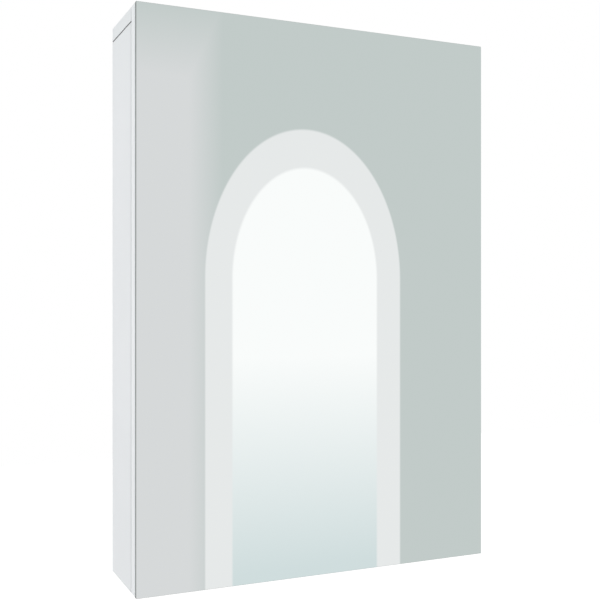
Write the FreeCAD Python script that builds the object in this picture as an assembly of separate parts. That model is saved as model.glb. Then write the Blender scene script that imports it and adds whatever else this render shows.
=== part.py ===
"""Wall-hung mirror cabinet with one full-overlay door on two concealed cup hinges.

Frame: +Z up, the front looks along -Y, the back lies in the plane y = 0 against the wall.
The origin is the centre of the two wall-screw holes, on the back plane. Sizes are in millimetres.
"""
import FreeCAD, Part

import math
import os

V = FreeCAD.Vector

# Outside of the cabinet
WIDTH = 415.0
HEIGHT = 600.0
CARCASS_DEPTH = 84.5
BOARD = 15.0
BOARD_EASE = 0.6
SIDE_REVEAL_HEIGHT = 1.0
SIDE_REVEAL_DEPTH = 3.0

# Hanging rail and wall screws
SCREW_LINE_DROP = 50.0
SCREW_SPACING = 280.0
SCREW_HOLE_RADIUS = 2.75
SCREW_SINK_RADIUS = 5.5
RAIL_HEIGHT = 70.0

# Back panel in its grooves
BACK_THICKNESS = 3.0
BACK_INSET = 5.0
GROOVE_DEPTH = 6.0
GROOVE_SIDE_CLEARANCE = 0.15
GROOVE_END_CLEARANCE = 0.5

# Shelves on pins
SHELF_LEVELS = {"lower_shelf": 195.0, "upper_shelf": 390.0}
SHELF_END_CLEARANCE = 0.6
SHELF_BACK_CLEARANCE = 1.0
SHELF_FRONT_SETBACK = 9.5
PIN_RADIUS = 2.5
PIN_HOLE_CLEARANCE = 0.05
PIN_INSERT = 8.0
PIN_REACH = 7.5
PIN_FLAT = 0.4
PIN_ROW_INSET = 16.0
PIN_HOLE_PITCH = 32.0
PIN_HOLES_EACH_WAY = 1

# Knock-down fasteners
CAM_RADIUS = 7.5
CAM_DEPTH = 12.6
CAM_CLEARANCE = 0.1
CAM_SETBACK = 24.0
COVER_RADIUS = 8.6
COVER_THICKNESS = 0.8
BOLT_CHANNEL_RADIUS = 4.0
BOLT_STEM_RADIUS = 3.15
BOLT_STEM_IN_EDGE = 13.0
BOLT_STEM_IN_FACE = 11.0
BOLT_NECK_RADIUS = 1.8
BOLT_HEAD_RADIUS = 2.9
BOLT_HEAD_LENGTH = 2.6
BOLT_PILOT_CLEARANCE = 0.05
DOWEL_RADIUS = 4.0
DOWEL_CLEARANCE = 0.05
DOWEL_IN_FACE = 11.0
DOWEL_IN_EDGE = 19.0
BORE_END_CLEARANCE = 0.5
CAM_BACK_INSET = 28.0
DOWEL_FRONT_INSET = 18.0
RAIL_FASTENER_OFFSET = 13.0

# Door
DOOR_GAP = 1.5
DOOR_BOARD = 15.0
TAPE_THICKNESS = 0.6
TAPE_WIDTH = 18.0
TAPE_COUNT = 4
TAPE_END_INSET = 30.0
TAPE_SIDE_INSET = 40.0
GLASS = 4.0
GLASS_ARRIS = 0.5
BUMPER_RADIUS = 4.0
BUMPER_CLEARANCE = 0.1
BUMPER_END_INSET = 40.0

# Concealed hinges. Hinge points are (inward from the outer face of the side, forward of the carcass).
HINGE_END_INSET = 100.0
ARM_PIVOT_REAR = (31.8, -5.9)
ARM_PIVOT_NOSE = (31.5, 10.0)
CUP_PIVOT_RIM = (10.7, 4.65)
CUP_PIVOT_DEEP = (14.4, 8.4)
CURVED_LINK_BULGE = 3.8
INNER_LINK_BULGE = 1.2
PIVOT_RADIUS = 1.25
PIVOT_CLEARANCE = 0.05
CURVED_LINK_HALF_WIDTH = 3.5
CURVED_LINK_HALF_THICKNESS = 1.1
LINK_EYE_RADIUS = 2.1
INNER_LINK_HALF_BREADTH = 1.5
INNER_LINK_PLATE = 1.5
INNER_LINK_SLEEVE_RADIUS = 2.0
LAYER_GAP = 0.45

# Hinge cup
CUP_EDGE_DISTANCE = 3.5
CUP_RADIUS = 17.5
CUP_BORE_CLEARANCE = 0.1
CUP_WALL = 0.7
CUP_FLOOR = 0.8
CUP_BORE_DEPTH = 12.8
CUP_FLANGE = 1.0
CUP_FLANGE_RADIUS = 19.2
CUP_FLANGE_FRONT = 4.5
CUP_EAR_RADIUS = 5.5
CUP_SCREW_PITCH = 48.0
CUP_SCREW_OFFSET = 6.0
CUP_CHEEK = 2.4
CUP_CHEEK_DROP = 0.9
CUP_CHEEK_END_WALL = 1.6
SLOT_RADIUS = 2.05
SLOT_SHIFT = (0.15, -0.65)
SLOT_HALF_LENGTH = 1.1

# Hinge arm and mounting plate
ARM_CHEEK = 1.4
ARM_WEB = 1.2
ARM_NOSE_RADIUS = 2.9
ARM_NOSE_BACK = 4.0
ARM_REAR_FOOT = 3.0
ARM_REAR_TOP = 13.0
ARM_REAR_END = 62.0
ARM_STEP_REAR = 25.0
ARM_STEP_FRONT = 13.0
PLATE_BASE = 2.0
PLATE_SCREW_PITCH = 32.0
PLATE_SCREW_SETBACK = 37.0
PLATE_WING_RADIUS = 7.0
PLATE_BODY_HALF_WIDTH = 8.4
PLATE_BODY_REAR = 60.0
PLATE_BODY_FRONT = 16.0
PLATE_RIDGE_CLEARANCE = 0.3
PLATE_RIDGE_STEP = 44.0
PLATE_RIDGE_LOW = 7.5
PLATE_SEAT_CLEARANCE = 0.1
SPRING_HALF_THICKNESS = 0.4
SPRING_HALF_WIDTH = 3.0
SPRING_BULGE = 1.2
SPRING_CLEARANCE = 0.1
SPRING_ROOT_LENGTH = 2.0
SPRING_CONTACT_ANGLE = 240.0

# Hinge screws
SCREW_PLAY = 0.3
WOOD_SCREW_RADIUS = 2.0
WOOD_SCREW_LENGTH = 11.0
WOOD_SCREW_HEAD_RADIUS = 3.8
WOOD_SCREW_HEAD_HEIGHT = 1.8
WOOD_SCREW_CLEARANCE = 0.05
ARM_SCREW_RADIUS = 2.4
ARM_SCREW_HEAD_RADIUS = 3.6
ARM_SCREW_HEAD_HEIGHT = 2.0
ARM_SCREW_DEPTH = 5.0
ARM_FIXING_SETBACK = 52.0
ARM_ADJUST_SETBACK = 32.0

# Planes worked out from the sizes above
X_OUT = WIDTH / 2
X_IN = X_OUT - BOARD
Z_TOP = SCREW_LINE_DROP
Z_BOTTOM = Z_TOP - HEIGHT
Z_UNDER_TOP = Z_TOP - BOARD
Z_ON_BOTTOM = Z_BOTTOM + BOARD
Z_UNDER_RAIL = Z_UNDER_TOP - RAIL_HEIGHT
Y_FRONT = -CARCASS_DEPTH
Y_DOOR_BACK = Y_FRONT - DOOR_GAP
Y_BOARD_FRONT = Y_DOOR_BACK - DOOR_BOARD
Y_GLASS_BACK = Y_BOARD_FRONT - TAPE_THICKNESS
Y_GLASS_FRONT = Y_GLASS_BACK - GLASS
Y_BACK_PANEL = -BACK_INSET - BACK_THICKNESS
HINGE_LEVELS = {"upper": Z_TOP - HINGE_END_INSET, "lower": Z_BOTTOM + HINGE_END_INSET}
Y_SHELF_FRONT = Y_FRONT + SHELF_FRONT_SETBACK
Y_SHELF_BACK = Y_BACK_PANEL - SHELF_BACK_CLEARANCE
PIN_COLUMNS = (Y_SHELF_FRONT + PIN_ROW_INSET, Y_SHELF_BACK - PIN_ROW_INSET)
CAM_ROW = -CAM_BACK_INSET
DOWEL_ROW = Y_FRONT + DOWEL_FRONT_INSET


def box(x0, x1, y0, y1, z0, z1):
    """Block between two corners."""
    return Part.makeBox(x1 - x0, y1 - y0, z1 - z0, V(x0, y0, z0))


def board(x0, x1, y0, y1, z0, z1):
    """Panel board with all its edges slightly broken."""
    blank = box(x0, x1, y0, y1, z0, z1)
    return blank.makeChamfer(BOARD_EASE, blank.Edges)


def rod(start, direction, length, radius):
    """Round bar from a start point along a direction."""
    return Part.makeCylinder(radius, length, start, direction)


def turned(start, direction, steps):
    """Round bar of several (length, radius) steps in a row."""
    bars = []
    place = V(start)
    for length, radius in steps:
        bars.append(rod(place, direction, length, radius))
        place = place + direction * length
    return bars[0].fuse(bars[1:]).removeSplitter()


def arc_band(start, end, bulge, half_width):
    """Flat face of a bowed strip with round ends; a positive bulge bows to the right of start to end."""
    first = V(*start)
    last = V(*end)
    chord = last - first
    side = V(chord.y, -chord.x) / chord.Length
    radius = (chord.Length ** 2 / 4 + bulge ** 2) / (2 * bulge)
    centre = (first + last) / 2 - side * (radius - bulge)
    rays = [(point - centre) / radius for point in (first, centre + side * radius, last)]
    outer = [centre + ray * (radius + half_width) for ray in rays]
    inner = [centre + ray * (radius - half_width) for ray in rays]
    turn = 1 if rays[0].cross(rays[2]).z > 0 else -1
    caps = []
    for ray, point, way in ((rays[0], first, -turn), (rays[2], last, turn)):
        caps.append(point + V(-ray.y, ray.x) * way * half_width)
    arcs = [
        Part.Arc(outer[0], outer[1], outer[2]),
        Part.Arc(outer[2], caps[1], inner[2]),
        Part.Arc(inner[2], inner[1], inner[0]),
        Part.Arc(inner[0], caps[0], outer[0]),
    ]
    return Part.Face(Part.Wire([arc.toShape() for arc in arcs]))


def slab(face, low, high):
    """Flat face in the XY plane made solid between two heights."""
    solid = face.extrude(V(0, 0, high - low))
    solid.translate(V(0, 0, low))
    return solid


def upright(point, radius, low, high):
    """Round bar along Z through a flat point, between two heights."""
    return rod(V(point[0], point[1], low), V(0, 0, 1), high - low, radius)


def groove(x0, x1, z0, z1):
    """Space of the back panel's groove across a panel, with its side clearance."""
    return box(
        x0,
        x1,
        Y_BACK_PANEL - GROOVE_SIDE_CLEARANCE,
        -BACK_INSET + GROOVE_SIDE_CLEARANCE,
        z0,
        z1,
    )


class CamJoint:
    """One cam lock with its bolt and cover.

    mouth is the centre of the cam's bore on the board's face, outward the face's normal,
    and pull the direction from the cam to the board that the bolt is screwed into.
    """

    def __init__(self, mouth, outward, pull):
        self.mouth = mouth
        self.outward = outward
        self.pull = pull
        self.axis_point = mouth - outward * (BOARD / 2)
        self.seam = self.axis_point + pull * CAM_SETBACK

    def bores(self):
        """Cam bore and bolt channel, cut from the board that holds the cam."""
        cam_bore = rod(self.mouth, -self.outward, CAM_DEPTH, CAM_RADIUS)
        channel = rod(self.axis_point, self.pull, CAM_SETBACK, BOLT_CHANNEL_RADIUS)
        return [cam_bore, channel]

    def pilot(self):
        """Hole for the end of the bolt's stem, cut from the other board."""
        length = BOLT_STEM_IN_FACE + BORE_END_CLEARANCE
        return rod(self.seam, self.pull, length, BOLT_STEM_RADIUS + BOLT_PILOT_CLEARANCE)

    def cam(self):
        """Round cam with the hollow that grips the bolt's head."""
        top = self.mouth - self.outward * CAM_CLEARANCE
        body = rod(top, -self.outward, CAM_DEPTH - 2 * CAM_CLEARANCE, CAM_RADIUS - CAM_CLEARANCE)
        hollow_start = self.axis_point - self.pull * BOLT_HEAD_LENGTH
        return body.cut(rod(hollow_start, self.pull, CAM_RADIUS * 2, BOLT_CHANNEL_RADIUS))

    def bolt(self):
        """Steel bolt: head and neck in the cam, and the stem that runs into the other board."""
        head_end = BOLT_HEAD_LENGTH / 2
        steps = (
            (BOLT_HEAD_LENGTH, BOLT_HEAD_RADIUS),
            (CAM_SETBACK - BOLT_STEM_IN_EDGE - head_end, BOLT_NECK_RADIUS),
            (BOLT_STEM_IN_EDGE + BOLT_STEM_IN_FACE, BOLT_STEM_RADIUS),
        )
        return turned(self.axis_point - self.pull * head_end, self.pull, steps)

    def cover(self):
        """Thin plastic cap on the board's face over the cam."""
        return rod(self.mouth, self.outward, COVER_THICKNESS, COVER_RADIUS)


class Dowel:
    """Wood dowel across a joint; seam is its point on the joint plane and pull points into the face board."""

    def __init__(self, seam, pull):
        self.seam = seam
        self.pull = pull

    def bore(self):
        """Hole for the dowel through both boards."""
        start = self.seam - self.pull * (DOWEL_IN_EDGE + BORE_END_CLEARANCE)
        length = DOWEL_IN_EDGE + DOWEL_IN_FACE + 2 * BORE_END_CLEARANCE
        return rod(start, self.pull, length, DOWEL_RADIUS)

    def solid(self):
        """The dowel itself."""
        start = self.seam - self.pull * DOWEL_IN_EDGE
        return rod(start, self.pull, DOWEL_IN_EDGE + DOWEL_IN_FACE, DOWEL_RADIUS - DOWEL_CLEARANCE)


class Fasteners:
    """A cam joint and a dowel at each end of the top, the bottom and the rail, by the side they meet."""

    def __init__(self):
        self.top = {}
        self.bottom = {}
        self.rail = {}
        up = V(0, 0, 1)
        rail_middle = Z_UNDER_TOP - RAIL_HEIGHT / 2
        for side, sign in (("left_side", -1), ("right_side", 1)):
            inward = V(-sign, 0, 0)
            cam_x = sign * (X_IN - CAM_SETBACK)
            self.top[side] = (
                CamJoint(V(sign * X_IN, CAM_ROW, Z_UNDER_TOP - CAM_SETBACK), inward, up),
                Dowel(V(sign * (X_OUT - BOARD / 2), DOWEL_ROW, Z_UNDER_TOP), up),
            )
            self.bottom[side] = (
                CamJoint(V(cam_x, CAM_ROW, Z_ON_BOTTOM), up, -inward),
                Dowel(V(sign * X_IN, DOWEL_ROW, Z_BOTTOM + BOARD / 2), -inward),
            )
            self.rail[side] = (
                CamJoint(V(cam_x, -BOARD, rail_middle + RAIL_FASTENER_OFFSET), V(0, -1, 0), -inward),
                Dowel(V(sign * X_IN, -BOARD / 2, rail_middle - RAIL_FASTENER_OFFSET), -inward),
            )

    def pairs(self):
        """Every cam joint with its dowel."""
        return [pair for joint in (self.top, self.bottom, self.rail) for pair in joint.values()]


def panel_cuts(pairs, holds_cams):
    """Bores that joints leave in the board with the cams, or in the other board."""
    cuts = []
    for cam, dowel in pairs:
        cuts.append(dowel.bore())
        cuts.extend(cam.bores() if holds_cams else [cam.pilot()])
    return cuts


def shelf_bottom(name):
    """Height of a shelf's underside."""
    return Z_BOTTOM + SHELF_LEVELS[name]


def pin_height(name):
    """Height of the pins' axis under a shelf."""
    return shelf_bottom(name) - PIN_RADIUS + PIN_FLAT


def make_top_panel(fasteners):
    """Board over both sides."""
    panel = board(-X_OUT, X_OUT, Y_FRONT, 0, Z_UNDER_TOP, Z_TOP)
    return panel.cut(panel_cuts(fasteners.top.values(), False))


def make_side(side, sign, fasteners):
    """Side board with reveal, back groove, shelf-pin rows and, on the right, the hinge-plate holes."""
    x0, x1 = sorted((sign * X_IN, sign * X_OUT))
    panel = board(x0, x1, Y_FRONT, 0, Z_BOTTOM, Z_UNDER_TOP)
    face = sign * X_IN
    reveal = sorted((sign * (X_OUT - SIDE_REVEAL_DEPTH), sign * (X_OUT + BOARD)))
    reveal_cut = box(*reveal, Y_FRONT - BOARD, BOARD, Z_UNDER_TOP - SIDE_REVEAL_HEIGHT, Z_TOP)
    groove_x = sorted((face - sign * BOARD, face + sign * GROOVE_DEPTH))
    back_groove = groove(*groove_x, Z_ON_BOTTOM - GROOVE_DEPTH, Z_UNDER_RAIL + GROOVE_DEPTH)
    cuts = [reveal_cut, back_groove]
    cuts += panel_cuts([fasteners.top[side]], True)
    cuts += panel_cuts([fasteners.bottom[side], fasteners.rail[side]], False)
    for name in SHELF_LEVELS:
        for step in range(-PIN_HOLES_EACH_WAY, PIN_HOLES_EACH_WAY + 1):
            for y in PIN_COLUMNS:
                mouth = V(face, y, pin_height(name) + step * PIN_HOLE_PITCH)
                cuts.append(rod(mouth, V(sign, 0, 0), PIN_INSERT, PIN_RADIUS + PIN_HOLE_CLEARANCE))
    if side == "right_side":
        for level in HINGE_LEVELS.values():
            cuts += [hinge_place(hole, level) for hole in plate_screw_holes()]
    return panel.cut(cuts)


def make_bottom_panel(fasteners):
    """Board between the sides, with the groove for the back panel."""
    panel = board(-X_IN, X_IN, Y_FRONT, 0, Z_BOTTOM, Z_ON_BOTTOM)
    cuts = panel_cuts(fasteners.bottom.values(), True)
    cuts.append(groove(-X_OUT, X_OUT, Z_ON_BOTTOM - GROOVE_DEPTH, Z_ON_BOTTOM + BOARD))
    return panel.cut(cuts)


def make_hanging_rail(fasteners):
    """Rail under the top, with the two countersunk wall-screw holes and the back panel's groove."""
    rail = board(-X_IN, X_IN, -BOARD, 0, Z_UNDER_RAIL, Z_UNDER_TOP)
    cuts = panel_cuts(fasteners.rail.values(), True)
    cuts.append(groove(-X_OUT, X_OUT, Z_UNDER_RAIL - BOARD, Z_UNDER_RAIL + GROOVE_DEPTH))
    sink_depth = SCREW_SINK_RADIUS - SCREW_HOLE_RADIUS
    for x in (-SCREW_SPACING / 2, SCREW_SPACING / 2):
        cuts.append(rod(V(x, 0, 0), V(0, -1, 0), BOARD, SCREW_HOLE_RADIUS))
        sink_start = V(x, sink_depth - BOARD, 0)
        cuts.append(Part.makeCone(SCREW_HOLE_RADIUS, SCREW_SINK_RADIUS, sink_depth, sink_start, V(0, -1, 0)))
    return rail.cut(cuts)


def make_back_panel():
    """Thin hardboard sheet held in the grooves."""
    reach = GROOVE_DEPTH - GROOVE_END_CLEARANCE
    return box(
        -X_IN - reach,
        X_IN + reach,
        Y_BACK_PANEL,
        -BACK_INSET,
        Z_ON_BOTTOM - reach,
        Z_UNDER_RAIL + reach,
    )


def make_shelf(name):
    """Loose shelf that lies on four pins."""
    reach = X_IN - SHELF_END_CLEARANCE
    low = shelf_bottom(name)
    return board(-reach, reach, Y_SHELF_FRONT, Y_SHELF_BACK, low, low + BOARD)


def make_shelf_pins():
    """Steel pins under both shelves, flat on top where the shelf lies."""
    pins = []
    for name in SHELF_LEVELS:
        for sign in (-1, 1):
            tip_x = sign * (X_IN - PIN_REACH)
            flat_ends = sorted((tip_x, sign * X_IN))
            for y in PIN_COLUMNS:
                pin = rod(V(tip_x, y, pin_height(name)), V(sign, 0, 0), PIN_REACH + PIN_INSERT, PIN_RADIUS)
                flat = box(*flat_ends, y - BOARD, y + BOARD, shelf_bottom(name), shelf_bottom(name) + BOARD)
                pins.append(pin.cut(flat))
    return pins


def make_door_panel():
    """Door board with the two cup bores and the cup-screw holes in its back."""
    panel = board(-X_OUT, X_OUT, Y_BOARD_FRONT, Y_DOOR_BACK, Z_BOTTOM, Z_TOP)
    cuts = []
    for level in HINGE_LEVELS.values():
        cuts += [hinge_place(hole, level) for hole in cup_bores()]
    return panel.cut(cuts)


def make_mirror_glass():
    """Full-size mirror with a ground arris round its edges."""
    sheet = box(-X_OUT, X_OUT, Y_GLASS_FRONT, Y_GLASS_BACK, Z_BOTTOM, Z_TOP)
    return sheet.makeChamfer(GLASS_ARRIS, sheet.Edges)


def make_mirror_tape():
    """Upright strips of mounting tape between the board and the glass."""
    span = WIDTH - 2 * TAPE_SIDE_INSET - TAPE_WIDTH
    strips = []
    for index in range(TAPE_COUNT):
        x = -X_OUT + TAPE_SIDE_INSET + span * index / (TAPE_COUNT - 1)
        low = Z_BOTTOM + TAPE_END_INSET
        high = Z_TOP - TAPE_END_INSET
        strips.append(box(x, x + TAPE_WIDTH, Y_GLASS_BACK, Y_BOARD_FRONT, low, high))
    return strips


def make_door_bumpers():
    """Soft buttons on the door's back that meet the free side's front edge."""
    x = -X_OUT + BOARD / 2
    heights = (Z_TOP - BUMPER_END_INSET, Z_BOTTOM + BUMPER_END_INSET)
    thickness = DOOR_GAP - BUMPER_CLEARANCE
    return [rod(V(x, Y_DOOR_BACK, z), V(0, 1, 0), thickness, BUMPER_RADIUS) for z in heights]


# The hinge is drawn flat: X inward from the side's outer face, Y forward of the carcass, Z along the pins.
CURVED_LINK_TOP = CURVED_LINK_HALF_WIDTH
INNER_LINK_LOW = CURVED_LINK_TOP + LAYER_GAP
INNER_LINK_TOP = INNER_LINK_LOW + INNER_LINK_PLATE
ARM_CHEEK_LOW = INNER_LINK_TOP + LAYER_GAP
ARM_CHEEK_TOP = ARM_CHEEK_LOW + ARM_CHEEK
CUP_CHEEK_LOW = ARM_CHEEK_LOW
CUP_CHEEK_TOP = CUP_CHEEK_LOW + CUP_CHEEK
CUP_CENTRE = CUP_EDGE_DISTANCE + CUP_RADIUS
CUP_INSIDE_RADIUS = CUP_RADIUS - CUP_BORE_CLEARANCE - CUP_WALL
CUP_OUTER_FLOOR = DOOR_GAP + CUP_BORE_DEPTH - CUP_BORE_CLEARANCE
CUP_INNER_FLOOR = CUP_OUTER_FLOOR - CUP_FLOOR
CUP_MOUTH = DOOR_GAP - CUP_FLANGE
CUP_SCREW_X = CUP_CENTRE + CUP_SCREW_OFFSET
ARM_FOOT_X = BOARD + ARM_REAR_FOOT
ARM_TOP_X = BOARD + ARM_REAR_TOP
ARM_FRONT_X = ARM_PIVOT_NOSE[0] + ARM_NOSE_BACK
PIVOT_BORE = PIVOT_RADIUS + PIVOT_CLEARANCE


def hinge_place(shape, level):
    """Copy of a flat-drawn hinge piece, turned to its place at the right side and lifted to its level."""
    placed = shape.copy()
    placed.rotate(V(0, 0, 0), V(0, 0, 1), 180)
    placed.translate(V(X_OUT, Y_FRONT, level))
    return placed


def mirrored_slab(face, low, high):
    """Pair of equal plates, above and below the hinge's middle plane."""
    return [slab(face, low, high), slab(face, -high, -low)]


def wood_screw(seat, inward):
    """Pan-head screw: its head lies on the seat and its shank runs inward."""
    steps = ((WOOD_SCREW_HEAD_HEIGHT, WOOD_SCREW_HEAD_RADIUS), (WOOD_SCREW_LENGTH, WOOD_SCREW_RADIUS))
    return turned(seat - inward * WOOD_SCREW_HEAD_HEIGHT, inward, steps)


def plate_screw_points():
    """Points of the plate screws on the plate's wings."""
    x = BOARD + PLATE_BASE
    return [V(x, -PLATE_SCREW_SETBACK, sign * PLATE_SCREW_PITCH / 2) for sign in (-1, 1)]


def cup_screw_points():
    """Points of the cup screws on the cup's flange."""
    return [V(CUP_SCREW_X, CUP_MOUTH, sign * CUP_SCREW_PITCH / 2) for sign in (-1, 1)]


def plate_screw_holes():
    """Pilot holes for the plate screws in the side board."""
    radius = WOOD_SCREW_RADIUS + WOOD_SCREW_CLEARANCE
    depth = WOOD_SCREW_LENGTH + SCREW_PLAY
    return [rod(point, V(-1, 0, 0), depth, radius) for point in plate_screw_points()]


def cup_bores():
    """Cup bore and screw holes in the door board."""
    radius = WOOD_SCREW_RADIUS + WOOD_SCREW_CLEARANCE
    bores = [rod(V(CUP_CENTRE, DOOR_GAP, 0), V(0, 1, 0), CUP_BORE_DEPTH, CUP_RADIUS)]
    for point in cup_screw_points():
        bores.append(rod(point, V(0, 1, 0), WOOD_SCREW_LENGTH + SCREW_PLAY, radius))
    return bores


def make_cup():
    """Pressed cup with flange, ears and two cheeks that hold the door-side pivots."""
    forward = V(0, 1, 0)
    mouth = V(CUP_CENTRE, CUP_MOUTH, 0)
    pot_radius = CUP_RADIUS - CUP_BORE_CLEARANCE
    pot = rod(V(CUP_CENTRE, DOOR_GAP, 0), forward, CUP_OUTER_FLOOR - DOOR_GAP, pot_radius)
    disc = rod(mouth, forward, CUP_FLANGE, CUP_FLANGE_RADIUS)
    ear_reach = CUP_SCREW_PITCH / 2
    front_cut = box(
        CUP_CENTRE - 2 * CUP_RADIUS,
        CUP_CENTRE - CUP_FLANGE_FRONT,
        CUP_MOUTH - CUP_FLANGE,
        DOOR_GAP,
        -ear_reach,
        ear_reach,
    )
    bridge = box(
        CUP_SCREW_X - CUP_EAR_RADIUS,
        CUP_SCREW_X + CUP_EAR_RADIUS,
        CUP_MOUTH,
        DOOR_GAP,
        -ear_reach,
        ear_reach,
    )
    ears = [rod(point, forward, CUP_FLANGE, CUP_EAR_RADIUS) for point in cup_screw_points()]
    flange = disc.cut(front_cut).fuse([bridge] + ears)
    cavity = rod(mouth, forward, CUP_INNER_FLOOR - CUP_MOUTH, CUP_INSIDE_RADIUS)
    holes = [
        rod(point, forward, CUP_FLANGE, WOOD_SCREW_RADIUS + SCREW_PLAY) for point in cup_screw_points()
    ]
    shell = pot.fuse(flange).cut([cavity] + holes)
    return shell.fuse(make_cup_cheeks()).removeSplitter()


def make_cup_cheeks():
    """Two cheeks inside the cup, with the rim pivot's bore and the slot of the deep pivot."""
    core = rod(
        V(CUP_CENTRE, DOOR_GAP, 0),
        V(0, 1, 0),
        CUP_OUTER_FLOOR - DOOR_GAP,
        CUP_INSIDE_RADIUS + CUP_WALL / 2,
    )
    slot_x = CUP_PIVOT_DEEP[0] + SLOT_SHIFT[0]
    slot_y = CUP_PIVOT_DEEP[1] + SLOT_SHIFT[1]
    cheeks = []
    for low, high in ((CUP_CHEEK_LOW, CUP_CHEEK_TOP), (-CUP_CHEEK_TOP, -CUP_CHEEK_LOW)):
        cheek = box(
            CUP_EDGE_DISTANCE,
            slot_x + SLOT_HALF_LENGTH + SLOT_RADIUS + CUP_CHEEK_END_WALL,
            DOOR_GAP + CUP_CHEEK_DROP,
            CUP_OUTER_FLOOR - CUP_FLOOR / 2,
            low,
            high,
        ).common(core)
        slot_ends = [
            upright((slot_x + shift, slot_y), SLOT_RADIUS, low, high)
            for shift in (-SLOT_HALF_LENGTH, SLOT_HALF_LENGTH)
        ]
        slot_middle = box(
            slot_x - SLOT_HALF_LENGTH,
            slot_x + SLOT_HALF_LENGTH,
            slot_y - SLOT_RADIUS,
            slot_y + SLOT_RADIUS,
            low,
            high,
        )
        pivot = upright(CUP_PIVOT_RIM, PIVOT_BORE, low, high)
        cheeks.append(cheek.cut(slot_ends + [slot_middle, pivot]))
    return cheeks


def make_curved_link():
    """Bowed strip with an eye at each end; it wraps round the cup's rim when the door is open."""
    band = arc_band(ARM_PIVOT_REAR, CUP_PIVOT_RIM, CURVED_LINK_BULGE, CURVED_LINK_HALF_THICKNESS)
    strip = slab(band, -CURVED_LINK_TOP, CURVED_LINK_TOP)
    ends = (ARM_PIVOT_REAR, CUP_PIVOT_RIM)
    eyes = [upright(point, LINK_EYE_RADIUS, -CURVED_LINK_TOP, CURVED_LINK_TOP) for point in ends]
    bores = [upright(point, PIVOT_BORE, -CURVED_LINK_TOP, CURVED_LINK_TOP) for point in ends]
    return strip.fuse(eyes).removeSplitter().cut(bores)


def make_inner_link():
    """Two bowed plates joined by a sleeve at the arm's nose, outside the curved link."""
    band = arc_band(ARM_PIVOT_NOSE, CUP_PIVOT_DEEP, INNER_LINK_BULGE, INNER_LINK_HALF_BREADTH)
    plates = mirrored_slab(band, INNER_LINK_LOW, INNER_LINK_TOP)
    for point in (ARM_PIVOT_NOSE, CUP_PIVOT_DEEP):
        plates.append(upright(point, LINK_EYE_RADIUS, INNER_LINK_LOW, INNER_LINK_TOP))
        plates.append(upright(point, LINK_EYE_RADIUS, -INNER_LINK_TOP, -INNER_LINK_LOW))
    sleeve = upright(ARM_PIVOT_NOSE, INNER_LINK_SLEEVE_RADIUS, -INNER_LINK_TOP, INNER_LINK_TOP)
    body = sleeve.fuse(plates).removeSplitter()
    ends = (ARM_PIVOT_NOSE, CUP_PIVOT_DEEP)
    bores = [upright(point, PIVOT_BORE, -INNER_LINK_TOP, INNER_LINK_TOP) for point in ends]
    return body.cut(bores)


def arm_outline():
    """Side view of the arm: flat rear part, step, and the nose that reaches into the cup."""
    nose_x, nose_y = ARM_PIVOT_NOSE
    neck_x = nose_x - ARM_NOSE_RADIUS
    foot_front = -ARM_STEP_FRONT - (ARM_FRONT_X - ARM_TOP_X)
    corners = [
        V(neck_x, nose_y, 0),
        V(neck_x, -ARM_STEP_FRONT, 0),
        V(ARM_FOOT_X, foot_front, 0),
        V(ARM_FOOT_X, -ARM_REAR_END, 0),
        V(ARM_TOP_X, -ARM_REAR_END, 0),
        V(ARM_TOP_X, -ARM_STEP_REAR, 0),
        V(ARM_FRONT_X, -ARM_STEP_FRONT, 0),
        V(ARM_FRONT_X, nose_y, 0),
        V(nose_x + ARM_NOSE_RADIUS, nose_y, 0),
    ]
    tip = Part.Arc(corners[-1], V(nose_x, nose_y + ARM_NOSE_RADIUS, 0), corners[0])
    edges = [Part.makeLine(first, last) for first, last in zip(corners, corners[1:])]
    return Part.Face(Part.Wire(edges + [tip.toShape()]))


def arm_hollow():
    """Side view of the space between the arm's cheeks, under its web."""
    far = ARM_REAR_END + BOARD
    bend = math.atan2(ARM_FRONT_X - ARM_TOP_X, ARM_STEP_REAR - ARM_STEP_FRONT)
    lift = ARM_WEB * math.tan(bend / 2)
    rear_x = ARM_TOP_X - ARM_WEB
    front_x = ARM_FRONT_X - ARM_WEB
    points = [
        V(0, -far, 0),
        V(rear_x, -far, 0),
        V(rear_x, lift - ARM_STEP_REAR, 0),
        V(front_x, lift - ARM_STEP_FRONT, 0),
        V(front_x, far, 0),
        V(0, far, 0),
    ]
    return Part.Face(Part.makePolygon(points + points[:1]))


def make_arm():
    """Channel-shaped arm: two pivots at its nose, and a screw hole and an open slot in its web."""
    body = slab(arm_outline(), -ARM_CHEEK_TOP, ARM_CHEEK_TOP)
    hollow = slab(arm_hollow(), -ARM_CHEEK_LOW, ARM_CHEEK_LOW)
    cuts = [hollow]
    for point in (ARM_PIVOT_REAR, ARM_PIVOT_NOSE):
        cuts.append(upright(point, PIVOT_BORE, -ARM_CHEEK_TOP, ARM_CHEEK_TOP))
    hole = ARM_SCREW_RADIUS + PIVOT_CLEARANCE
    under = ARM_TOP_X - 2 * ARM_WEB
    above = ARM_TOP_X + ARM_WEB
    for setback in (ARM_FIXING_SETBACK, ARM_ADJUST_SETBACK):
        cuts.append(rod(V(under, -setback, 0), V(1, 0, 0), above - under, hole))
    cuts.append(box(under, above, -ARM_REAR_END - hole, -ARM_FIXING_SETBACK, -hole, hole))
    return body.cut(cuts)


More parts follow.
